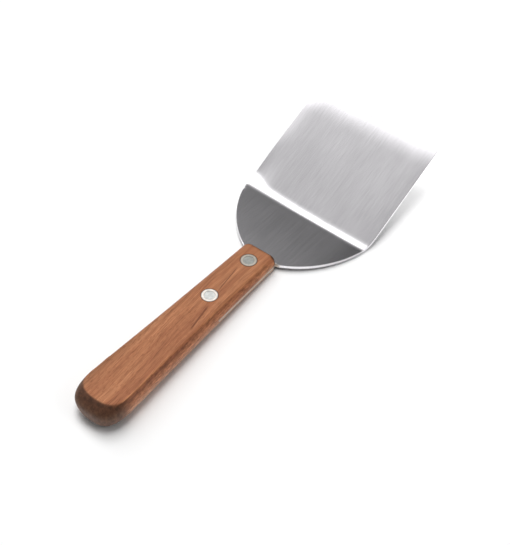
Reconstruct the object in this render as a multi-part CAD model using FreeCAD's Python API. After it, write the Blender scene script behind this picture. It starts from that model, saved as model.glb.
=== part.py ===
import FreeCAD, Part
import math
import os
from functools import partial
from FreeCAD import Vector

# A small cook's turner: a steel blade folded at its heel, a sawn wooden handle that
# takes the blade's tang in a slot, and two flush cutler's rivets of two halves each.
# +X runs from the butt of the handle to the front edge of the blade, +Y to the left,
# +Z up. It lies on z = 0 as it lies on a table, on its heel and the handle's underside.

# Driving dimensions, in millimetres and degrees.
blade_width = 65.2
blade_offset = 0.4             # how far the middle of the blade is to the left of the handle's
plate_length = 53.6            # flat part of the plate, from the bend to the front edge
plate_angle = 20.8             # rise of the plate towards the front edge
plate_corner_radius = 2.3
sheet_thickness = 1.5          # shoulder, bend and tang
grind_length = 11.0            # upper face of the plate, ground to a curve at the front
grind_start_thickness = 1.0    # the plate is rolled thinner up to there
front_edge_thickness = 0.45
bend_radius = 8.0              # on the upper face, at the heel
shoulder_length = 30.1         # from the bend to the front of the handle
shoulder_reach = 32.7          # from the bend to where the two shoulder curves would meet
shoulder_lead = {"left": 5.1, "right": 7.2}    # the curves start this far ahead of the bend
shoulder_fullness = {"left": 1.65, "right": 1.88}  # exponent along each: 2 is an ellipse's
shoulder_bluntness = 1.67      # exponent across them
tang_angle = 2.7               # rise of the shoulder and tang towards the butt
tang_length = 39.2             # inside the handle

handle_length = 100.5         # flat upper face
handle_width_front = 13.0      # upper face
handle_width_butt = 19.1       # upper face, where the rounding of the butt begins
wood_over_tang = 3.9
butt_round_length = 10.0
butt_squareness = 2.6          # exponent of the butt's curve: 2 is an ellipse
butt_lead = 8.0                # straight part of the sides made in one face with the butt
butt_swell = 4.5               # how far the butt stands out past its upper edge
butt_swell_squareness = 3.0    # exponent of its curve where it stands out most
side_swell_front = 1.5         # the same for the sides
side_swell_butt = 1.4
underside_round_front = 0.8    # width of the rounding under each side
underside_round_butt = 4.2
underside_round_end = 2.4      # and under the rounded end
widest_level = 0.6             # height of the widest section, as a part of the thickness
handle_corner_radius = 2.0     # the two corners beside the blade
rim_round_front = 1.3          # rounding of the upper face's edge
rim_round_butt = 0.4
slot_clearance = 0.02          # above and below the tang
slot_end_gap = 0.4

rivet_positions = {"front": 8.7, "rear": 34.0}   # behind the front of the handle
rivet_head_diameter = 6.8
rivet_head_thickness = 1.0
rivet_head_dish_diameter = 4.6
rivet_head_dish_depth = 0.12
barrel_diameter = 4.0
shank_diameter = 2.4
shank_end_gap = 0.5
rivet_clearance = 0.05         # round every head, barrel and shank

bend_outer_radius = bend_radius + sheet_thickness
tang_slope = math.tan(math.radians(tang_angle))


def heel_point(radius, slope_degrees):
    """Point of a bend of this radius where the sheet has this slope."""
    angle = math.radians(slope_degrees)
    return Vector(radius * math.sin(angle), 0, bend_outer_radius - radius * math.cos(angle))


def step(start, slope_degrees, along, up=0.0):
    """Go along a slope from a point, then square to it."""
    angle = math.radians(slope_degrees)
    return start + Vector(along * math.cos(angle) - up * math.sin(angle), 0,
                          along * math.sin(angle) + up * math.cos(angle))


def slope_between(start, end):
    return math.degrees(math.atan2(end.z - start.z, end.x - start.x))


def tangent_arc(start, slope_degrees, end):
    """Arc that leaves its start along this slope."""
    half_chord = (end - start).Length / 2
    chord_slope = slope_between(start, end)
    bulge = half_chord * math.tan(math.radians(slope_degrees - chord_slope) / 2)
    return Part.Arc(start, step(start, chord_slope, half_chord, bulge), end)


def tang_point(behind_bend, above_sheet):
    """Point over the shoulder or tang, measured from the bend's start on the upper face."""
    return step(heel_point(bend_radius, -tang_angle), -tang_angle, -behind_bend, above_sheet)


handle_front_x = tang_point(shoulder_length, 0).x
top_front_z = tang_point(shoulder_length, wood_over_tang).z


def top_height(behind_front):
    """Height of the handle's upper face, which is parallel to the tang."""
    return top_front_z + behind_front * tang_slope


def sheet_solid(width):
    """The sheet's side profile, pushed out to both sides."""
    tang_end = shoulder_length + tang_length
    plate_top = heel_point(bend_radius, plate_angle)
    plate_under = heel_point(bend_outer_radius, plate_angle)
    upper = [
        Part.LineSegment(tang_point(tang_end, 0), heel_point(bend_radius, -tang_angle)),
        Part.Arc(heel_point(bend_radius, -tang_angle), heel_point(bend_radius, 0), plate_top),
    ]
    grind_start = step(plate_under, plate_angle, plate_length - grind_length,
                       grind_start_thickness)
    edge_top = step(plate_under, plate_angle, plate_length, front_edge_thickness)
    edge_under = step(plate_under, plate_angle, plate_length)
    upper.append(Part.LineSegment(plate_top, grind_start))
    upper.append(tangent_arc(grind_start, slope_between(plate_top, grind_start), edge_top))
    lower = [
        Part.LineSegment(edge_top, edge_under),
        Part.LineSegment(edge_under, plate_under),
        Part.Arc(plate_under, heel_point(bend_outer_radius, 0),
                 heel_point(bend_outer_radius, -tang_angle)),
        Part.LineSegment(heel_point(bend_outer_radius, -tang_angle),
                         tang_point(tang_end, -sheet_thickness)),
        Part.LineSegment(tang_point(tang_end, -sheet_thickness), tang_point(tang_end, 0)),
    ]
    profile = Part.Wire([piece.toShape() for piece in upper + lower])
    profile.translate(Vector(0, -width / 2, 0))
    return Part.Face(profile).extrude(Vector(0, width, 0))


def superellipse(angle, along_exponent, across_exponent):
    """Point of a unit superellipse: how far along its axis and how far to the side."""
    along = abs(math.cos(angle)) ** (2 / along_exponent)
    across = abs(math.sin(angle)) ** (2 / across_exponent)
    return along, math.copysign(across, angle)


def half_turn(count):
    """Angles from the right side, round the nose, to the left side."""
    return [math.pi * i / (count - 1) - math.pi / 2 for i in range(count)]


def shoulder_point(angle):
    """Point of the shoulder's curve, which starts ahead of the bend on both sides."""
    bend = heel_point(bend_radius, -tang_angle).x
    side, half = ("left", blade_width / 2 + blade_offset)
    if angle < 0:
        side, half = ("right", blade_width / 2 - blade_offset)
    along, across = superellipse(angle, shoulder_fullness[side], shoulder_bluntness)
    lead = shoulder_lead[side]
    return Vector(bend + lead - (shoulder_reach + lead) * along, half * across, 0)


def blade_outline():
    """The blade seen from above: a rectangular plate and a rounded shoulder."""
    front = step(heel_point(bend_outer_radius, plate_angle), plate_angle, plate_length).x
    shoulder = [shoulder_point(angle) for angle in half_turn(41)]
    rear = Part.BSplineCurve()
    rear.interpolate(shoulder)
    plate = Part.makePolygon([shoulder[-1], Vector(front, shoulder[-1].y, 0),
                              Vector(front, shoulder[0].y, 0), shoulder[0]])
    face = Part.Face(Part.Wire(plate.Edges + [rear.toShape()]))
    prism = face.extrude(Vector(0, 0, blade_width))
    corners = [edge for edge in prism.Edges
               if len(edge.Vertexes) == 2 and edge.BoundBox.ZLength > blade_width / 2
               and abs(edge.CenterOfMass.x - front) < 0.1]
    return prism.makeFillet(plate_corner_radius, corners)


def standing_out(level):
    """Share of the swell at a level from 0, under, to 1, over."""
    return 1 - max(0.0, (level - widest_level) / (1 - widest_level)) ** 2


def tucked_in(level):
    """Share of the underside's rounding at a level."""
    below = max(0.0, (widest_level - level) / widest_level)
    return 1 - math.sqrt(max(0.0, 1 - below ** 2))


def half_width(behind_front, level):
    """Half the handle's width on its straight sides."""
    out, under = standing_out(level), tucked_in(level)
    front = handle_width_front / 2 + side_swell_front * out - underside_round_front * under
    rear = handle_width_butt / 2 + side_swell_butt * out - underside_round_butt * under
    return front + (rear - front) * behind_front / (handle_length - butt_round_length)


def on_wall(behind_front, across, level):
    return Vector(handle_front_x - behind_front, across, level * top_height(behind_front))


def side_point(behind_front, side, level, inset=0.0):
    """Point of a straight side, where side is 1 on the left and -1 on the right."""
    return on_wall(behind_front, side * (half_width(behind_front, level) - inset), level)


def butt_point(angle, level, inset=0.0):
    """Point of the rounded end, where the angle runs from the right side to the left."""
    out, under = standing_out(level), tucked_in(level)
    exponent = butt_squareness + (butt_swell_squareness - butt_squareness) * out
    along, across = superellipse(angle, exponent, exponent)
    depth = butt_round_length + butt_swell * out - underside_round_end * under - inset
    behind = handle_length - butt_round_length + depth * along
    return on_wall(behind, across * (half_width(behind, level) - inset), level)


def corner_point(share, side, level, inset=0.0):
    """Point of a front corner, where the share runs from the flat front to the side."""
    slant = math.atan(half_width(1, level) - half_width(0, level))
    angle = (math.pi / 2 - slant) * share
    radius = handle_corner_radius
    across = half_width(radius, level) - inset - (radius - inset) / math.cos(slant)
    return on_wall(radius - (radius - inset) * math.cos(angle),
                   side * (across + (radius - inset) * math.sin(angle)), level)


def up_the_wall(point):
    """Points from the underside, over the widest level and round the rim to the upper face."""
    behind = handle_front_x - point(1).x
    rim = rim_round_front + (rim_round_butt - rim_round_front) * behind / handle_length
    under = [widest_level * (1 - math.cos(math.radians(angle))) for angle in range(0, 90, 15)]
    rim_level = 1 - rim / top_height(behind)
    over = [widest_level + (rim_level - widest_level) * i / 4 for i in range(5)]
    points = [point(level) for level in under + over]
    start, edge, end = points[-1], point(1), point(1, rim)
    for t in (0.25, 0.5, 0.75, 1):
        points.append(start * (1 - t) ** 2 + edge * (2 * t * (1 - t)) + end * t ** 2)
    return points


def smooth_face(stations):
    surface = Part.BSplineSurface()
    surface.interpolate([up_the_wall(point) for point in stations])
    return surface.toShape()


def butt_face():
    """The rounded end, which starts on the straight part of both sides."""
    straight = handle_length - butt_round_length
    starts = [straight - butt_lead, straight - butt_lead / 2]
    right = [partial(side_point, behind, -1) for behind in starts]
    left = [partial(side_point, behind, 1) for behind in reversed(starts)]
    return smooth_face(right + [partial(butt_point, angle) for angle in half_turn(19)] + left)


def corner_face(side):
    return smooth_face([partial(corner_point, i / 6, side) for i in range(7)])


def edge_nearest(face, point):
    return min(face.Edges, key=lambda edge: edge.CenterOfMass.distanceToPoint(point))


def rim_edge(face, level):
    """Lowest or highest edge of a wall face."""
    pick = max if level else min
    return pick(face.Edges, key=lambda edge: edge.CenterOfMass.z)


def handle_body():
    """Wall faces that share their edges, closed by a flat underside and upper face."""
    middle = widest_level
    corners = {side: corner_face(side) for side in (-1, 1)}
    butt = butt_face()
    front = Part.makeRuledSurface(*[edge_nearest(corners[side], corner_point(0, side, middle))
                                    for side in corners])
    walls = [front, butt] + list(corners.values())
    for side, corner in corners.items():
        start = edge_nearest(corner, corner_point(1, side, middle))
        behind_butt = handle_length - butt_round_length - butt_lead
        end = edge_nearest(butt, side_point(behind_butt, side, middle))
        walls.append(Part.makeRuledSurface(start, end))
    caps = [Part.Face(Part.Wire(Part.__sortEdges__([rim_edge(wall, level) for wall in walls])))
            for level in (0, 1)]
    shell = Part.makeShell(walls + caps)
    shell.sewShape()
    return Part.makeSolid(shell)


def slot_solid():
    """The saw cut for the tang, open at the front and at both sides."""
    rear = shoulder_length + tang_length + slot_end_gap
    ahead = shoulder_length - 5
    corners = [
        tang_point(rear, slot_clearance),
        tang_point(ahead, slot_clearance),
        tang_point(ahead, -sheet_thickness - slot_clearance),
        tang_point(rear, -sheet_thickness - slot_clearance),
    ]
    width = 2 * (handle_width_butt + side_swell_butt)
    face = Part.Face(Part.makePolygon(corners + corners[:1]))
    face.translate(Vector(0, -width / 2, 0))
    return face.extrude(Vector(0, width, 0))


def rod(behind_front, diameter, low, high):
    """Round bar square to the tang, between two heights over the sheet's upper face."""
    behind_bend = shoulder_length + behind_front
    axis = tang_point(behind_bend, 1) - tang_point(behind_bend, 0)
    return Part.makeCylinder(diameter / 2, high - low, tang_point(behind_bend, low), axis)


def under_height(behind_front):
    """Height of z = 0 over the sheet's upper face, along a rivet's axis."""
    behind_bend = shoulder_length + behind_front
    return -tang_point(behind_bend, 0).z / math.cos(math.radians(tang_angle))


def above_table(shape):
    """Grind a rivet flush with the underside."""
    block = Part.makeBox(400, 400, 60, Vector(-200, -200, 0))
    return shape.common(block)


def rivet_bore(behind_front):
    gap = 2 * rivet_clearance
    under = under_height(behind_front)
    bore = rod(behind_front, barrel_diameter + gap, under - 1, wood_over_tang + 1)
    upper = rod(behind_front, rivet_head_diameter + gap, wood_over_tang - rivet_head_thickness,
                wood_over_tang + 1)
    lower = rod(behind_front, rivet_head_diameter + gap, under - 1, under + rivet_head_thickness)
    return bore.fuse([upper, lower])


def rivet_female(behind_front):
    """Upper half: a flat head with a shallow dish, and a hollow barrel under it."""
    under = under_height(behind_front) + rivet_head_thickness
    head = rod(behind_front, rivet_head_diameter, wood_over_tang - rivet_head_thickness,
               wood_over_tang)
    barrel = rod(behind_front, barrel_diameter, under + rivet_clearance, wood_over_tang)
    hole = rod(behind_front, shank_diameter + 2 * rivet_clearance, under - 1,
               wood_over_tang - rivet_head_thickness)
    dish = rod(behind_front, rivet_head_dish_diameter, wood_over_tang - rivet_head_dish_depth,
               wood_over_tang + 1)
    return head.fuse(barrel).cut(hole).cut(dish).removeSplitter()


def rivet_male(behind_front):
    """Lower half: a flat head ground flush with the underside, and a plain shank."""
    under = under_height(behind_front)
    head = rod(behind_front, rivet_head_diameter, under - 1, under + rivet_head_thickness)
    shank = rod(behind_front, shank_diameter, under,
                wood_over_tang - rivet_head_thickness - shank_end_gap)
    return above_table(head.fuse(shank).removeSplitter())


def blade(body):
    sheet = sheet_solid(2 * blade_width)
    shape = sheet.common(blade_outline()).fuse(sheet.common(body)).removeSplitter()
    for behind_front in rivet_positions.values():
        shape = shape.cut(rod(behind_front, barrel_diameter + 2 * rivet_clearance,
                              -2 * sheet_thickness, sheet_thickness))
    return shape


def handle(body):
    shape = body.cut(slot_solid())
    for behind_front in rivet_positions.values():
        shape = shape.cut(rivet_bore(behind_front))
    return shape


def one_solid(shape):
    if len(shape.Solids) != 1:
        raise ValueError("expected one solid, got %d" % len(shape.Solids))
    return shape.Solids[0]


def exact_box(shape):
    return shape.optimalBoundingBox(False, False)


def main():
    body = handle_body()
    nodes = {"blade": blade(body), "handle": handle(body)}
    for name, behind_front in rivet_positions.items():
        nodes[name + "_rivet_female"] = rivet_female(behind_front)
        nodes[name + "_rivet_male"] = rivet_male(behind_front)
    nodes = {name: one_solid(shape) for name, shape in nodes.items()}
    boxes = [exact_box(shape) for shape in nodes.values()]
    middle_x = (min(box.XMin for box in boxes) + max(box.XMax for box in boxes)) / 2
    os.makedirs("parts", exist_ok=True)
    for name, shape in nodes.items():
        shape.translate(Vector(-middle_x, 0, 0))
        shape.exportStep("parts/%s.step" % name)
        box = exact_box(shape)
        print("%-20s volume %8.1f  x %.2f..%.2f  y %.2f..%.2f  z %.2f..%.2f" % (
            name, shape.Volume, box.XMin, box.XMax, box.YMin, box.YMax, box.ZMin, box.ZMax))


main()
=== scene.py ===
import bpy
import bmesh
import math
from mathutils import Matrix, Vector


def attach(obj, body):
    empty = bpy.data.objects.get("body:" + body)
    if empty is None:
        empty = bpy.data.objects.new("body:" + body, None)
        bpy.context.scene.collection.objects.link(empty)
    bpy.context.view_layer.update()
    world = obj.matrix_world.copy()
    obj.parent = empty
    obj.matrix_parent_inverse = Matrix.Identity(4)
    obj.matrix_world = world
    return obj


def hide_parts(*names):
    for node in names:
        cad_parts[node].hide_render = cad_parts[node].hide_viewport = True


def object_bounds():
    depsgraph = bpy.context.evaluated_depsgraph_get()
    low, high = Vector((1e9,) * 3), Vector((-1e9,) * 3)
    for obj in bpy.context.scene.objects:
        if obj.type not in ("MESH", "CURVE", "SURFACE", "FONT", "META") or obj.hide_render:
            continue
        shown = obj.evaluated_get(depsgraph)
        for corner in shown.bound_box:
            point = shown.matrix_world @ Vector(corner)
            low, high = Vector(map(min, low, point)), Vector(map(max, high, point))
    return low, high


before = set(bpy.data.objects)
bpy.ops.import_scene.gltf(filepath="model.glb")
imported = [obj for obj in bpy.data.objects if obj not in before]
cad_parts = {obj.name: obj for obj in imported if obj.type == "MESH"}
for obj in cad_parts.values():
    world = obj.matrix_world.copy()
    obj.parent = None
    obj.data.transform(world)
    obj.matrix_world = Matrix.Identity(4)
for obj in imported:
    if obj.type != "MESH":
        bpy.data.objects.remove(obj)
cadLow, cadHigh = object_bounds()

# A small kitchen turner on a white studio table: a folded sheet blade, a wooden handle and
# two flush rivets. The scene is in metres, in the frame's own axes: +x points to the blade's
# front edge and +y to its left side. Lengths of the blade, handle and rivets are in mm.

mm = 0.001
rivetPlaces = {"front": 2.02, "rear": -23.26}   # along x, in the upper face


def startAlone(piece=None):
    if bpy.context.mode != "OBJECT":
        bpy.ops.object.mode_set(mode="OBJECT")
    bpy.ops.object.select_all(action="DESELECT")
    if piece:
        piece.select_set(True)
        bpy.context.view_layer.objects.active = piece


def newMaterial(name):
    material = bpy.data.materials.new(name)
    material.use_nodes = True
    tree = material.node_tree
    return material, tree, tree.nodes["Principled BSDF"]


def feed(tree, socket, value):
    if isinstance(value, bpy.types.NodeSocket):
        tree.links.new(value, socket)
    elif isinstance(value, tuple) and socket.type == "RGBA":
        socket.default_value = (*value, 1)
    else:
        socket.default_value = value


def addNode(tree, kind, inputs=None, **settings):
    node = tree.nodes.new(kind)
    for key, value in settings.items():
        setattr(node, key, value)
    for key, value in (inputs or {}).items():
        feed(tree, node.inputs[key], value)
    return node


def addMath(tree, operation, first, second=0.0, third=0.0):
    node = addNode(tree, "ShaderNodeMath", operation=operation)
    for index, value in enumerate((first, second, third)):
        feed(tree, node.inputs[index], value)
    return node.outputs[0]


def times(tree, first, second):
    return addMath(tree, "MULTIPLY", first, second)


def plus(tree, first, second):
    return addMath(tree, "ADD", first, second)


def splitPlace(tree, place):
    return addNode(tree, "ShaderNodeSeparateXYZ", {0: place}).outputs


def joinPlace(tree, parts):
    return addNode(tree, "ShaderNodeCombineXYZ", parts).outputs[0]


def addPlaces(tree, first, second):
    return addNode(tree, "ShaderNodeVectorMath", {0: first, 1: second}, operation="ADD").outputs[0]


def distanceFrom(tree, place, centre=(0.0, 0.0, 0.0)):
    node = addNode(tree, "ShaderNodeVectorMath", {0: place, 1: centre}, operation="DISTANCE")
    return node.outputs["Value"]


def addRange(tree, value, low, high, newLow=0.0, newHigh=1.0, soft=False):
    kind = "SMOOTHSTEP" if soft else "LINEAR"
    return addNode(tree, "ShaderNodeMapRange",
                   {"Value": value, "From Min": low, "From Max": high,
                    "To Min": newLow, "To Max": newHigh}, interpolation_type=kind).outputs[0]


def addRamp(tree, source, stops, low=0.0, high=1.0):
    if (low, high) != (0.0, 1.0):
        source = addRange(tree, source, low, high)
    ramp = addNode(tree, "ShaderNodeValToRGB", {"Fac": source})
    elements = ramp.color_ramp.elements
    while len(elements) < len(stops):
        elements.new(0.5)
    for element, (place, colour) in zip(elements, stops):
        element.position = (place - low) / (high - low)
        element.color = (*colour, 1) if isinstance(colour, tuple) else (colour,) * 3 + (1,)
    return ramp.outputs["Color"]


def mixColour(tree, share, first, second, blend="MIX"):
    node = addNode(tree, "ShaderNodeMix", data_type="RGBA", blend_type=blend)
    feed(tree, node.inputs[0], share)
    feed(tree, node.inputs[6], first)
    feed(tree, node.inputs[7], second)
    return node.outputs[2]


def tint(tree, colour, tone):
    return mixColour(tree, 1.0, colour, tone, "MULTIPLY")


def stretchedNoise(tree, place, stretch, detail=2.0, roughness=0.5, shift=(0.0, 0.0, 0.0)):
    mapped = addNode(tree, "ShaderNodeMapping",
                     {"Vector": place, "Scale": stretch, "Location": shift})
    noise = addNode(tree, "ShaderNodeTexNoise",
                    {"Vector": mapped.outputs[0], "Scale": 1.0, "Detail": detail,
                     "Roughness": roughness})
    return noise.outputs["Fac"]


def addBump(tree, shader, height, strength, depth):
    bump = addNode(tree, "ShaderNodeBump",
                   {"Strength": strength, "Distance": depth * mm, "Height": height})
    tree.links.new(bump.outputs[0], shader.inputs["Normal"])


def spread(tree, noise, swing, middle=0.0):
    # most of a noise lies between 0.3 and 0.7: it is spread that far round the middle
    return addRange(tree, noise, 0.3, 0.7, middle - swing, middle + swing)


cameraPlace = {
    "location": (-0.254992, -0.204690, 0.370895),
    "heading": 38.084,          # degrees from +X towards +Y
    "tiltDown": 48.496,
    "lens": 78.71,
    "clipStart": 0.01,
}


def placeCamera():
    data = bpy.data.cameras.new("camera")
    camera = bpy.data.objects.new("camera", data)
    bpy.context.scene.collection.objects.link(camera)
    data.lens = cameraPlace["lens"]
    data.clip_start = cameraPlace["clipStart"]
    heading = math.radians(cameraPlace["heading"])
    tilt = math.radians(cameraPlace["tiltDown"])
    level = math.cos(tilt)
    look = Vector((math.cos(heading) * level, math.sin(heading) * level, -math.sin(tilt)))
    camera.location = cameraPlace["location"]
    camera.rotation_euler = look.to_track_quat("-Z", "Y").to_euler()
    bpy.context.scene.camera = camera


studio = {
    "floorSize": 6.0,
    "floorColour": (0.95, 0.95, 0.95),
    "farLift": (0.4, 1.6, 0.6),   # the camera sees the far floor as white: from, to, how much
    "floorInMetal": 0.42,         # how much brighter the metal reflects the floor
    # a painted pool of light on the floor under the plate, for light coming in from its right side
    "paintedLightUnderPlate": {"at": (0.093, -0.045, 0.0), "reach": 0.058, "core": 0.3, "lift": 0.44},
    # the room's brightness along x, where +x is past the blade's front edge
    "roomAlongX": [(-1.0, 0.34), (-0.4, 0.44), (-0.1, 0.54), (0.0, 0.66), (0.03, 0.71),
                   (0.06, 0.78), (0.096, 0.88), (0.122, 1.03), (0.148, 1.25), (0.17, 1.5),
                   (0.2, 1.8), (0.24, 2.1), (0.27, 2.3), (0.48, 2.3), (0.52, 1.3), (0.55, 0.5),
                   (0.58, 0.23), (0.60, 0.19), (0.62, 0.192), (0.66, 0.17), (1.0, 0.15)],
    # its share along y
    "roomAlongY": [(-1.0, 0.22), (-0.3, 0.28), (0.0, 0.48), (0.15, 0.72), (0.28, 0.86),
                   (0.30, 0.93), (0.34, 1.09), (0.39, 1.06), (0.445, 0.97), (0.49, 1.1),
                   (0.535, 1.35), (0.58, 1.6), (0.65, 1.7), (0.8, 1.3), (1.0, 0.7)],
    # and its share with height, from the horizon up
    "roomAlongZ": [(0.0, 0.2), (0.25, 0.42), (0.5, 0.84), (0.6, 1.0)],
    # a soft lamp behind on the left, a weak low one on the near side and one overhead, none
    # of which the metal reflects: it only sees the room
    "lamps": [{"name": "soft lamp", "at": (0.33, 0.40, 1.08), "size": 0.5, "power": 3.5},
              {"name": "fill lamp", "at": (0.20, -0.70, 0.55), "size": 0.4, "power": 0.9},
              {"name": "top lamp", "at": (0.05, 0.05, 1.1), "size": 0.4, "power": 4.2}],
}


def floorLift(tree):
    # what brightens the floor: its far part for the camera, all of it in the metal's first
    # reflection, and for both a painted pool of light under the plate
    path = addNode(tree, "ShaderNodeLightPath").outputs
    place = addNode(tree, "ShaderNodeTexCoord").outputs["Object"]
    near, far, most = studio["farLift"]
    farFloor = addRange(tree, distanceFrom(tree, place), near, far, 0.0, most, soft=True)
    first = addMath(tree, "LESS_THAN", path["Ray Depth"], 1.5)
    inMetal = times(tree, path["Is Glossy Ray"], first)
    lift = plus(tree, times(tree, path["Is Camera Ray"], farFloor),
                times(tree, inMetal, studio["floorInMetal"]))
    under = studio["paintedLightUnderPlate"]
    paintedLightPatch = addRange(tree, distanceFrom(tree, place, under["at"]), under["reach"],
                     under["core"] * under["reach"], 0.0, under["lift"], soft=True)
    seen = addMath(tree, "MAXIMUM", path["Is Camera Ray"], inMetal)
    return plus(tree, lift, times(tree, seen, paintedLightPatch))


def layFloor():
    startAlone()
    bpy.ops.mesh.primitive_plane_add(size=studio["floorSize"], location=(0, 0, 0))
    floor = bpy.context.object
    floor.name = "floor"
    material, tree, shader = newMaterial("white table")
    shader.inputs["Base Color"].default_value = (*studio["floorColour"], 1)
    shader.inputs["Roughness"].default_value = 1.0
    shader.inputs["Specular IOR Level"].default_value = 0.0
    shader.inputs["Emission Color"].default_value = (1, 1, 1, 1)
    tree.links.new(floorLift(tree), shader.inputs["Emission Strength"])
    floor.data.materials.append(material)


def lightRoom():
    world = bpy.data.worlds.new("studio")
    bpy.context.scene.world = world
    world.use_nodes = True
    tree = world.node_tree
    towards = splitPlace(tree, addNode(tree, "ShaderNodeTexCoord").outputs["Generated"])
    alongX = addRamp(tree, towards["X"], studio["roomAlongX"], -1.0, 1.0)
    alongY = addRamp(tree, towards["Y"], studio["roomAlongY"], -1.0, 1.0)
    alongZ = addRamp(tree, towards["Z"], studio["roomAlongZ"])
    room = tint(tree, tint(tree, alongX, alongY), alongZ)
    seen = addNode(tree, "ShaderNodeLightPath").outputs["Is Camera Ray"]
    background = tree.nodes["Background"]
    tree.links.new(mixColour(tree, seen, room, (1, 1, 1)), background.inputs["Color"])


def hangLamp(lamp):
    data = bpy.data.lights.new(lamp["name"], "AREA")
    data.size = lamp["size"]
    data.energy = lamp["power"]
    hung = bpy.data.objects.new(lamp["name"], data)
    bpy.context.scene.collection.objects.link(hung)
    hung.location = lamp["at"]    # and it points at the middle of the turner
    hung.rotation_euler = (-Vector(lamp["at"])).to_track_quat("-Z", "Y").to_euler()
    hung.visible_camera = False
    hung.visible_glossy = False


placeCamera()
layFloor()
lightRoom()
for lamp in studio["lamps"]:
    hangLamp(lamp)
print("studio ready")


blade = {
    # the nominal sheet, as the frame holds it
    "heelX": 40.61,               # where the bend begins
    "shoulderSlope": -0.0472,
    "plateSlope": 0.3666,
    "undersideSlope": 0.3799,     # steeper, because the sheet thins
    "topSpan": 3.22,              # length of the bend along x on top
    "undersideSpan": 3.75,
    "grindX": 83.83,              # the top is ground in a curve from here to the front edge
    "grindZ": 16.683,             # height of the top there
    "grindDrop": 0.004143,        # per mm squared
    # the bend as it is folded by hand: it starts and ends along its own lines across the sheet
    "startX": 39.3,
    "startLean": 0.028,           # per mm of y
    "endX": 44.65,
    "endLean": 0.045,
    "endBow": 0.0009,             # per mm squared
    "bendEase": 1.25,             # the turn starts softly
    "pauseAfter": 0.69,           # at the left end the bend is held after this share of it
    "pause": 3.0,                 # for this long
    "pauseY": (21.0, 32.0),       # from none to all of it
    "pauseRecovery": 14.0,        # and it is back in line this far ahead of the bend
    "plateEnd": 84.0,             # where the plate is back in line with the nominal one
    "farRun": 100.0,              # well past the bend, to compare the two plates
    # the polished long edges roll over: drop, from y, over this width, power, over this length
    "leftRoll": (0.35, 25.0, 8.0, 2.2, 20.0),
    "leftRollX": 58.0,            # where the left one begins
    "rightRoll": (0.11, 25.5, 6.5, 2, 4.0),
    # where the mesh is cut, across x and across y
    "cutFaces": (37.0, 38.4),     # only faces that reach this x are cut across x, and across y
    "cutsX": [38.2, 38.8, 39.3, 39.8, 40.2, 44.8, 45.6, 46.4, 47.2, 48, 49, 50, 51.5, 53, 55,
              58, 61, 65, 69, 73, 77, 80.5, 82.6, 85.2, 86.6, 88, 89.4, 90.8, 92.2],
    "cutsY": [-31.6, -31, -30, -29, -28, -27, -26, -24, -20, -15, -10, -5, 0, 5, 10, 14, 17,
              19, 21, 23, 24, 25, 26, 27, 28, 29, 30, 31, 31.8, 32.5],
    "movedFrom": 38.0,            # the shoulder behind it keeps its shape
    "merge": 0.3,                 # no slivers are left for the bevel to trip over
    "edgeBevel": 0.14,
    "edgeSegments": 2,
    "sharpAngle": 40,             # edges above it are bevelled
    "smoothAngle": 35,            # and edges below it are shaded smooth
    "brushing": (10, 10, 3),      # scale of the finish across, along and up
}


def bendRise(run, span, slope, ease, pause=0.0):
    # height gained over a run that turns from the shoulder's slope over the span, evenly
    # when ease is 1, with a straight pause after the first part of the turn
    first = blade["shoulderSlope"]
    if run <= 0:
        return first * run
    straight = min(max(run - blade["pauseAfter"] * span, 0.0), pause)
    turning = min(run - straight, span)
    rise = first * turning
    rise += (slope - first) * span * (turning / span) ** (ease + 1) / (ease + 1)
    rise += (first + (slope - first) * blade["pauseAfter"] ** ease) * straight
    return rise + slope * (run - straight - turning)


def easeOut(share):
    # from 0 to 1, at once and then slower
    share = min(1.0, max(0.0, share))
    return share * (3 - share * share) / 2


def easeBoth(share):
    # from 0 to 1, slowly at both ends
    share = min(1.0, max(0.0, share))
    return share * share * (3 - 2 * share)


def edgeRoll(x, y, start):
    # how far the long edges are rolled over, the right one from the start of the bend on
    drop, fromY, width, power, length = blade["leftRoll"]
    rolled = drop * easeBoth((x - blade["leftRollX"]) / length)
    rolled *= max(0.0, (y - fromY) / width) ** power
    if x > start:
        drop, fromY, width, power, length = blade["rightRoll"]
        share = min(1.0, (x - start) / length)
        rolled += drop * max(0.0, (-y - fromY) / width) ** power * share
    return rolled


def sheetShift(x, y, under):
    # how far the hand-folded sheet lies above the nominal one
    start = blade["startX"] + blade["startLean"] * y
    end = blade["endX"] + blade["endLean"] * y + blade["endBow"] * y * y
    pauseFrom, pauseTo = blade["pauseY"]
    pause = blade["pause"] * easeBoth((y - pauseFrom) / (pauseTo - pauseFrom))
    ease = blade["bendEase"]
    slope = blade["undersideSlope"] if under else blade["plateSlope"]
    nominal = blade["undersideSpan"] if under else blade["topSpan"]
    span = end - start + (nominal - blade["topSpan"])
    ahead = start - blade["heelX"]
    back = blade["shoulderSlope"] * ahead
    rise = bendRise(x - start, span, slope, ease, pause) + back
    shift = rise - bendRise(x - blade["heelX"], nominal, slope, 1)
    # the plates would stay apart by this gap, so it closes over the length of the plate
    far = blade["farRun"]
    gap = bendRise(far + ahead, nominal, slope, 1) - bendRise(far, span, slope, ease) - back
    turned = start + span + pause
    shift += gap * easeOut((x - turned) / (blade["plateEnd"] - turned))
    pauseGap = pause * (1 - blade["pauseAfter"] ** ease) * (slope - blade["shoulderSlope"])
    shift += pauseGap * easeOut((x - turned) / blade["pauseRecovery"])
    return shift - edgeRoll(x, y, start)


def selectFaces(mesh, test):
    for face in mesh.faces:
        face.select_set(test(face))
    mesh.select_flush(True)


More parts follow.
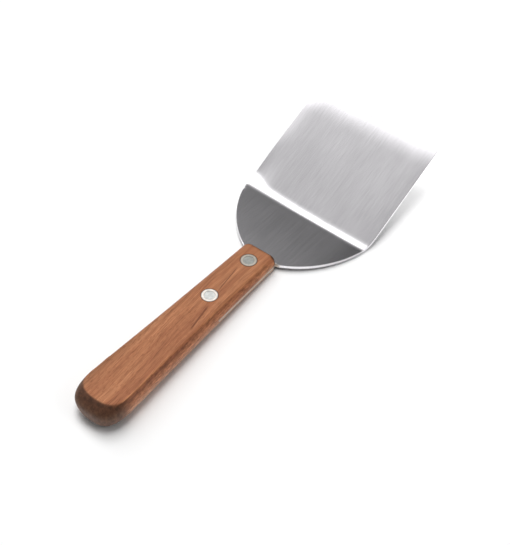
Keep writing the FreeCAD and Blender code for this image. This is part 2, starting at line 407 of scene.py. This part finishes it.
def cutSheet(piece):
    # cuts across and along the sheet, so that the bend and the edges can be shaped
    for axis, reach, cuts in ((0, blade["cutFaces"][0], blade["cutsX"]),
                              (1, blade["cutFaces"][1], blade["cutsY"])):
        normal = Vector((0, 0, 0))
        normal[axis] = 1
        for cut in cuts:
            mesh = bmesh.from_edit_mesh(piece.data)
            selectFaces(mesh, lambda face: max(vert.co.x for vert in face.verts) > reach * mm)
            bmesh.update_edit_mesh(piece.data)
            bpy.ops.mesh.bisect(plane_co=normal * (cut * mm), plane_no=normal,
                                threshold=0.0001 * mm)
    bpy.ops.mesh.select_all(action="SELECT")
    bpy.ops.mesh.remove_doubles(threshold=blade["merge"] * mm)


def foldSheet(piece):
    # every point goes to its height on the hand-folded sheet
    mesh = bmesh.from_edit_mesh(piece.data)
    mesh.normal_update()
    heights = []
    for vert in mesh.verts:
        if vert.co.x > blade["movedFrom"] * mm:
            x, y, z = vert.co / mm
            under = any(face.normal.z < -0.5 for face in vert.link_faces)
            if x > blade["grindX"] and not under:
                ground = x - blade["grindX"]
                z = blade["grindZ"] + blade["plateSlope"] * ground
                z -= blade["grindDrop"] * ground ** 2
            heights.append((vert, z + sheetShift(x, y, under)))
    for vert, height in heights:
        vert.co.z = min(cadHigh[2], max(cadLow[2], height * mm))
    bmesh.update_edit_mesh(piece.data)


def breakEdges(piece):
    bevel = piece.modifiers.new("edges", "BEVEL")
    bevel.width = blade["edgeBevel"] * mm
    bevel.segments = blade["edgeSegments"]
    bevel.limit_method = "ANGLE"
    bevel.angle_limit = math.radians(blade["sharpAngle"])
    bevel.use_clamp_overlap = False
    bevel.harden_normals = True
    bpy.ops.object.shade_smooth_by_angle(angle=math.radians(blade["smoothAngle"]))
    bpy.ops.object.modifier_apply(modifier="edges")


def buildBlade():
    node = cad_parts["blade"]
    piece = bpy.data.objects.new("blade_sheet", node.data.copy())
    bpy.context.scene.collection.objects.link(piece)
    startAlone(piece)
    bpy.ops.mesh.customdata_custom_splitnormals_clear()
    bpy.ops.object.mode_set(mode="EDIT")
    bpy.ops.mesh.select_all(action="SELECT")
    bpy.ops.mesh.remove_doubles(threshold=0.001 * mm)
    bpy.ops.mesh.normals_make_consistent(inside=False)
    bpy.ops.mesh.dissolve_limited(angle_limit=math.radians(0.5))
    cutSheet(piece)
    foldSheet(piece)
    bpy.ops.object.mode_set(mode="OBJECT")
    breakEdges(piece)
    for vert in piece.data.vertices:
        vert.co = [min(cadHigh[axis], max(cadLow[axis], vert.co[axis])) for axis in range(3)]
    # lengthwise is v, so that the brushed finish spreads light sideways
    layer = piece.data.uv_layers.active or piece.data.uv_layers.new(name="brushing")
    across, along, up = blade["brushing"]
    for loop in piece.data.loops:
        place = piece.data.vertices[loop.vertex_index].co
        layer.data[loop.index].uv = (place.y * across, place.x * along + place.z * up)
    print("blade:", len(piece.data.vertices), "vertices")
    return piece


steel = {
    "colour": (0.68, 0.666, 0.688),
    "roughness": 0.19,
    "roughnessSwing": 0.01,
    "anisotropic": 0.7,
    # brushed lines and clouds: how fine they are along x, y and z, and their change of tone
    "wideLines": ((32.0, 1500.0, 100.0), 0.022),
    "fineLines": ((85.0, 3000.0, 200.0), 0.06),
    "clouds": ((70.0, 90.0, 90.0), 0.035),
    "bump": (0.1, 0.002),         # strength and depth of the fine lines
    # painted shade: the right corner of the shoulder is darkened in the steel's colour, for a
    # darker reflection there
    "cornerX": (41.0, 38.0),
    "cornerY": (-18.0, -29.0),
    "paintedCornerShade": 0.27,
    "tangX": (11.0, 10.2),        # the tang's edge shows in the handle, and is warmer, darker and rougher there
    "tangColour": (0.47, 0.40, 0.33),
    "tangRougher": 0.3,
}


def steelMaterial():
    material, tree, shader = newMaterial("brushed steel")
    place = addNode(tree, "ShaderNodeTexCoord").outputs["Object"]
    wideStretch, wideSwing = steel["wideLines"]
    fineStretch, fineSwing = steel["fineLines"]
    cloudStretch, cloudSwing = steel["clouds"]
    wide = stretchedNoise(tree, place, wideStretch, detail=3.0, roughness=0.6)
    fine = stretchedNoise(tree, place, fineStretch, detail=3.0, roughness=0.65)
    cloud = stretchedNoise(tree, place, cloudStretch)
    tone = plus(tree, spread(tree, wide, wideSwing), spread(tree, fine, fineSwing))
    tone = plus(tree, plus(tree, tone, 1.0), spread(tree, cloud, cloudSwing))
    split = splitPlace(tree, place)
    # painted shade on the shoulder's right corner
    (front, rear), (inner, outer) = steel["cornerX"], steel["cornerY"]
    onShoulder = addRange(tree, split["X"], front * mm, rear * mm, soft=True)
    shade = addRange(tree, split["Y"], inner * mm, outer * mm, 0.0, steel["paintedCornerShade"], soft=True)
    corner = times(tree, onShoulder, shade)
    tone = times(tree, tone, addMath(tree, "SUBTRACT", 1.0, corner))
    colour = tint(tree, steel["colour"], tone)
    tang = addRange(tree, split["X"], steel["tangX"][0] * mm, steel["tangX"][1] * mm)
    colour = mixColour(tree, tang, colour, steel["tangColour"])
    tree.links.new(colour, shader.inputs["Base Color"])
    rough = spread(tree, wide, steel["roughnessSwing"], steel["roughness"])
    rough = addMath(tree, "MULTIPLY_ADD", tang, steel["tangRougher"], rough)
    tree.links.new(rough, shader.inputs["Roughness"])
    shader.inputs["Metallic"].default_value = 1.0
    shader.inputs["Anisotropic"].default_value = steel["anisotropic"]
    tangent = addNode(tree, "ShaderNodeTangent", direction_type="UV_MAP")
    tree.links.new(tangent.outputs[0], shader.inputs["Tangent"])
    strength, depth = steel["bump"]
    addBump(tree, shader, fine, strength, depth)
    return material


bladeSheet = buildBlade()
bladeSteel = steelMaterial()
bladeSheet.data.materials.clear()
bladeSheet.data.materials.append(bladeSteel)
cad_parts["blade"].data.materials[0] = bladeSteel
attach(bladeSheet, "root")
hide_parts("blade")
print("blade ready")


handle = {
    "dark": (0.290, 0.102, 0.047),
    "middle": (0.408, 0.163, 0.073),
    "light": (0.500, 0.218, 0.104),
    "pore": (0.20, 0.062, 0.026),
    # dark mineral streaks; the same colour paints the shade under the rim
    "streakAndCreaseShade": (0.14, 0.045, 0.022),
    "paintedBounce": (0.40, 0.255, 0.175),       # painted bounce light from the white table: lighter and greyer low on the sides
    # end grain, darkened further by painted shade, as the butt faces away from the light
    "endGrainAndShade": (0.130, 0.062, 0.034),
    "endEdgePaintedShade": (0.080, 0.034, 0.018),   # painted shade over the end grain, darkest under the crisp edge of the butt
    "joint": (0.06, 0.028, 0.018),      # the dark joint round the rivets
    "roughness": 0.58,
    "specular": 0.3,
    "bump": (0.5, 0.04),                # strength and depth
    "bumpShares": (0.4, -1.0),          # of the fibres and of the pores
    # how fine each pattern is along x, y and z
    "wander": (22.0, 60.0, 60.0),
    "bands": (10.0, 480.0, 280.0),
    "fibres": (90.0, 4400.0, 3000.0),
    "pores": (420.0, 4200.0, 4200.0),
    "thinLines": (45.0, 1500.0, 900.0),
    "mottling": (380.0, 1500.0, 900.0),
    "endMarks": (900.0, 700.0, 500.0),
    "wanderReach": 1.6,                 # how far the grain wanders sideways
    "lean": (-90.0, 0.0, 2.5),          # from x to x it leans, this far to each side
    "bandStops": (0.3, 0.5, 0.68),      # where the bands are dark, middle and light
    "fibreTone": (0.76, 1.18),
    "poreCut": (0.6, 0.72),             # of their noise, only the top is a pore
    "poreRear": (-10.0, -45.0, 0.25, 0.6),   # from x to x, their share grows from and to
    "thinLineCut": (0.62, 0.72),
    "thinLineShare": 0.45,
    # dark mineral streaks in the upper face: from, to and half width
    "streaks": [((-43.7, -6.3), (-26.6, -3.1), 0.6), ((-20.1, -1.3), (-3.0, 1.2), 0.32)],
    "streakTaper": 4.0,                 # length over which their ends fade
    "streakCore": 0.2,                  # the share of their width that is darkest
    "streakWander": 0.25,
    "streakShare": 0.85,
    "creaseRadius": (3.4, 3.95),        # the joint round each rivet, and where it fades out
    "creaseShare": 0.92,
    "leftEdgePaintedShade": (4.5, 9.5, 0.72),       # painted shade, darker towards the left edge where it rounds away: from y to y, tone
    "frontEnd": (-32.0, -12.0, 0.93),   # and towards the front: from x to x, tone
    "topRise": (6.82, 10.55, 0.0472),   # height of the upper face: at the front, its x, slope
    "wallFacing": (0.9, 0.72),          # a wall's normal points up less than this
    "endFacing": (0.06, 0.4),           # and an end's normal points along x more than this
    # on the walls, by level between the underside, 0, and the upper face, 1
    "paintedShadeUnderRim": (0.76, 0.92, 0.7),      # painted shade: a dark line under the rim, where it rounds into shade: from level to level, share
    "paintedBounceLow": (0.72, 0.3, 0.55),
    "paintedBounceFibres": (0.6, 1.0),
    # the walls are mottled, and painted lighter on the whole than the upper face
    "wallMottleAndPaintedLight": (0.88, 1.68),
    # between these levels the butt's painted shade deepens up to its crisp edge
    "buttEdgePaintedShade": (0.66, 0.9),
    "endTone": (0.72, 1.35),
    "buttX": (-80.0, -88.0),            # the butt's wall takes the end grain colour and its painted shade from here to here on
}


def streakMask(tree, split, start, end, width):
    slope = (end[1] - start[1]) / (end[0] - start[0])
    line = addMath(tree, "MULTIPLY_ADD", split["X"], slope, (start[1] - slope * start[0]) * mm)
    away = addMath(tree, "ABSOLUTE", addMath(tree, "SUBTRACT", split["Y"], line))
    core = handle["streakCore"] * width * mm
    across = addRange(tree, away, width * mm, core, soft=True)
    taper = handle["streakTaper"]
    enter = addRange(tree, split["X"], start[0] * mm, (start[0] + taper) * mm, soft=True)
    leave = addRange(tree, split["X"], end[0] * mm, (end[0] - taper) * mm, soft=True)
    return times(tree, across, times(tree, enter, leave))


def pushedSideways(tree, place, push):
    return addPlaces(tree, place, joinPlace(tree, {"Y": push}))


def grainColour(tree, place, whole):
    # bands, fibres and pores along a grain that wanders and rises to the front, with streaks
    slow = stretchedNoise(tree, place, handle["wander"], detail=1.0)
    rearX, frontX, lean = handle["lean"]
    leaning = addRange(tree, whole["X"], rearX * mm, frontX * mm, lean * mm, -lean * mm, soft=True)
    reach = handle["wanderReach"] * mm
    push = plus(tree, addRange(tree, slow, 0.2, 0.8, -reach, reach), leaning)
    grain = pushedSideways(tree, place, push)
    bands = stretchedNoise(tree, grain, handle["bands"], detail=4.0, roughness=0.62)
    fibres = stretchedNoise(tree, grain, handle["fibres"], roughness=0.6)
    pores = stretchedNoise(tree, grain, handle["pores"], detail=0.0, shift=(3.1, 0, 0))
    tones = (handle["dark"], handle["middle"], handle["light"])
    colour = addRamp(tree, bands, list(zip(handle["bandStops"], tones)))
    colour = tint(tree, colour, addRange(tree, fibres, 0.3, 0.7, *handle["fibreTone"]))
    fromX, toX, few, many = handle["poreRear"]
    rear = addRange(tree, whole["X"], fromX * mm, toX * mm, few, many, soft=True)
    poreShare = times(tree, addRange(tree, pores, *handle["poreCut"]), rear)
    colour = mixColour(tree, poreShare, colour, handle["pore"])
    streakPush = spread(tree, slow, handle["streakWander"] * mm)
    bent = splitPlace(tree, pushedSideways(tree, place, streakPush))
    for start, end, width in handle["streaks"]:
        share = times(tree, streakMask(tree, bent, start, end, width), handle["streakShare"])
        colour = mixColour(tree, share, colour, handle["streakAndCreaseShade"])
    thin = stretchedNoise(tree, grain, handle["thinLines"], detail=1.0, shift=(0, 5.0, 0))
    thinShare = addRange(tree, thin, *handle["thinLineCut"], 0.0, handle["thinLineShare"])
    return mixColour(tree, thinShare, colour, handle["streakAndCreaseShade"]), fibres, poreShare


def jointsAndPaintedEdgeShade(tree, place, whole, colour):
    # darker in the joint round each rivet and at the front, with painted shade along the left edge
    for end in ("front", "rear"):
        centre = joinPlace(tree, {"X": rivetPlaces[end] * mm, "Z": whole["Z"]})
        inner, outer = handle["creaseRadius"]
        ring = addRange(tree, distanceFrom(tree, place, centre), inner * mm, outer * mm,
                        handle["creaseShare"], 0.0, soft=True)
        colour = mixColour(tree, ring, colour, handle["joint"])
    for along, key in (("Y", "leftEdgePaintedShade"), ("X", "frontEnd")):
        first, last, tone = handle[key]
        shade = addRange(tree, whole[along], first * mm, last * mm, 1.0, tone, soft=True)
        colour = tint(tree, colour, shade)
    return colour


def wallColour(tree, place, whole, facing, fibres, colour):
    # the sides are mottled and painted lighter, with painted bounce light low down and painted
    # shade under the rim; the ends show end grain, darkened further with painted shade
    topZ, frontX, rise = handle["topRise"]
    top = addMath(tree, "MULTIPLY_ADD", whole["X"], -rise, (topZ + frontX * rise) * mm)
    level = addMath(tree, "DIVIDE", whole["Z"], top)
    wall = addRange(tree, facing["Z"], *handle["wallFacing"], soft=True)
    # painted shade: a dark line under the rim
    low, high, share = handle["paintedShadeUnderRim"]
    paintedCreaseShade = times(tree, wall, addRange(tree, level, low, high, 0.0, share, soft=True))
    colour = mixColour(tree, paintedCreaseShade, colour, handle["streakAndCreaseShade"])
    # painted bounce light: lighter and greyer low on the walls
    high, low, share = handle["paintedBounceLow"]
    paintedBounce = times(tree, wall, addRange(tree, level, high, low, 0.0, share, soft=True))
    paintedBounce = times(tree, paintedBounce, addRange(tree, fibres, 0.3, 0.7, *handle["paintedBounceFibres"]))
    colour = mixColour(tree, paintedBounce, colour, handle["paintedBounce"])
    # mottled walls, painted lighter on the whole
    mottle = stretchedNoise(tree, place, handle["mottling"], detail=3.0, roughness=0.65)
    mottleAndPaintedLight = addRange(tree, mottle, 0.35, 0.65, *handle["wallMottleAndPaintedLight"])
    colour = tint(tree, colour, mixColour(tree, wall, (1.0, 1.0, 1.0), mottleAndPaintedLight))
    # end grain with painted shade, darkest under the butt's crisp edge
    buttEdgePaintedShade = addRange(tree, level, *handle["buttEdgePaintedShade"], soft=True)
    endColour = mixColour(tree, buttEdgePaintedShade, handle["endGrainAndShade"], handle["endEdgePaintedShade"])
    endMarks = stretchedNoise(tree, place, handle["endMarks"], detail=3.0, roughness=0.65)
    endColour = tint(tree, endColour, addRange(tree, endMarks, 0.35, 0.65, *handle["endTone"]))
    endways = addMath(tree, "ABSOLUTE", facing["X"])
    turned = addRange(tree, endways, *handle["endFacing"], soft=True)
    firstX, lastX = handle["buttX"]
    butt = times(tree, wall, addRange(tree, whole["X"], firstX * mm, lastX * mm, soft=True))
    return mixColour(tree, addMath(tree, "MAXIMUM", turned, butt), colour, endColour)


def woodMaterial():
    material, tree, shader = newMaterial("oiled hardwood")
    coords = addNode(tree, "ShaderNodeTexCoord").outputs
    place = coords["Object"]
    whole = splitPlace(tree, place)
    facing = splitPlace(tree, coords["Normal"])
    colour, fibres, poreShare = grainColour(tree, place, whole)
    colour = jointsAndPaintedEdgeShade(tree, place, whole, colour)
    colour = wallColour(tree, place, whole, facing, fibres, colour)
    tree.links.new(colour, shader.inputs["Base Color"])
    shader.inputs["Roughness"].default_value = handle["roughness"]
    shader.inputs["Specular IOR Level"].default_value = handle["specular"]
    fibreShare, poreDepth = handle["bumpShares"]
    height = plus(tree, times(tree, fibres, fibreShare), times(tree, poreShare, poreDepth))
    strength, depth = handle["bump"]
    addBump(tree, shader, height, strength, depth)
    return material


wood = woodMaterial()
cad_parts["handle"].data.materials[0] = wood
print("handle ready")


rivets = {
    # painted reflections: both rivets are one metal, but the rear one is given brighter colours,
    # and each dish a darker, cooler colour than its rim
    "front": {"face": (0.41, 0.418, 0.396), "rim": (0.56, 0.515, 0.45)},
    "rear": {"face": (0.70, 0.71, 0.685), "rim": (0.90, 0.84, 0.77)},
    "roughness": 0.42,
    "dishRadius": 2.3,            # as in the rivet's head
    "dishEdge": 0.15,             # half the width in which the face's colour gives way to the rim's
    "headRadius": 3.4,
    "darkEdge": (0.35, 0.45),     # its width, and its tone
    "groove": (0.12, 0.75),       # round the dish: half its width, and its tone
    "ringsPerMetre": 9000.0,
    "ringTone": (0.9, 1.08),
    "marks": (900.0, 900.0, 900.0),
    "markTone": 0.16,
    "bump": (0.3, 0.01),
}


def rivetMaterial(name):
    # turned on a lathe: fine rings round the rivet's own axis, a dish in a painted darker
    # reflection, and a dark edge
    material, tree, shader = newMaterial(name + " rivet metal")
    place = addNode(tree, "ShaderNodeTexCoord").outputs["Object"]
    centred = addNode(tree, "ShaderNodeMapping",
                      {"Vector": place, "Location": (-rivetPlaces[name] * mm, 0, 0)})
    split = splitPlace(tree, centred.outputs[0])
    radius = distanceFrom(tree, joinPlace(tree, {"X": split["X"], "Y": split["Y"]}))
    rings = addNode(tree, "ShaderNodeTexNoise",
                    {"W": times(tree, radius, rivets["ringsPerMetre"]), "Scale": 1.0,
                     "Detail": 2.0}, noise_dimensions="1D").outputs["Fac"]
    marks = stretchedNoise(tree, place, rivets["marks"], detail=3.0)
    dish, dishEdge, head = rivets["dishRadius"], rivets["dishEdge"], rivets["headRadius"]
    outer = addRange(tree, radius, (dish - dishEdge) * mm, (dish + dishEdge) * mm, soft=True)
    # painted reflection: the dish and the rim take different colours
    colour = mixColour(tree, outer, rivets[name]["face"], rivets[name]["rim"])
    tone = times(tree, addRange(tree, rings, 0.3, 0.7, *rivets["ringTone"]),
                 spread(tree, marks, rivets["markTone"], 1.0))
    edgeWidth, edgeTone = rivets["darkEdge"]
    edge = addRange(tree, radius, (head - edgeWidth) * mm, head * mm, 1.0, edgeTone, soft=True)
    grooveWidth, grooveTone = rivets["groove"]
    groove = addMath(tree, "COMPARE", radius, dish * mm, grooveWidth * mm)
    tone = times(tree, times(tree, tone, edge), addRange(tree, groove, 0.0, 1.0, 1.0, grooveTone))
    tree.links.new(tint(tree, colour, tone), shader.inputs["Base Color"])
    shader.inputs["Metallic"].default_value = 1.0
    shader.inputs["Roughness"].default_value = rivets["roughness"]
    strength, depth = rivets["bump"]
    addBump(tree, shader, plus(tree, rings, marks), strength, depth)
    return material


for end in ("front", "rear"):
    metal = rivetMaterial(end)
    for half in ("female", "male"):
        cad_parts[end + "_rivet_" + half].data.materials[0] = metal
print("rivets ready")

bpy.context.scene.view_settings.view_transform = "Standard"
